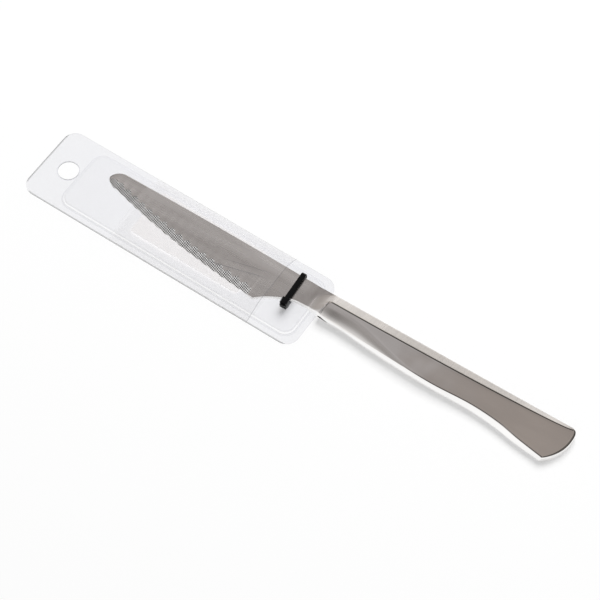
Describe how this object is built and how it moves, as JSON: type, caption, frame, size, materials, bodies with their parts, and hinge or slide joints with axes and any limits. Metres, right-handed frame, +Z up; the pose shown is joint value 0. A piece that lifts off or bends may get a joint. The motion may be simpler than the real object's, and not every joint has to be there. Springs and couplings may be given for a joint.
{
  "type": "steak knife",
  "caption": "Steak knife with a micro-serrated blade and a hollow steel handle with a flared butt, tied by the neck into a clear hanging blade guard.",
  "frame": {"origin": "middle of the underside of the whole, on the table that the knife lies on", "axes": "+X along the knife from tip to butt, +Y from the cutting edge to the spine, +Z up from the table"},
  "size_m": [0.2388, 0.0356, 0.0064],
  "materials": {
    "blade_steel": "stainless steel, fine satin brushing along the blade and across the neck",
    "handle_steel": "mirror polished stainless steel",
    "filler": "rough cast resin cement",
    "clear_sheet": "clear thermoformed sheet, glossy",
    "clear_film": "thin clear film, glossy",
    "label_paper": "blank uncoated paper",
    "tie_nylon": "black moulded nylon, satin"
  },
  "bodies": {
    "root": {"blade": "blade_steel", "handle_shell_upper": "handle_steel", "handle_shell_lower": "handle_steel", "handle_filler": "filler", "guard_tray": "clear_sheet", "film_sleeve": "clear_film", "paper_label": "label_paper", "cable_tie": "tie_nylon"}
  },
  "joints": []
}
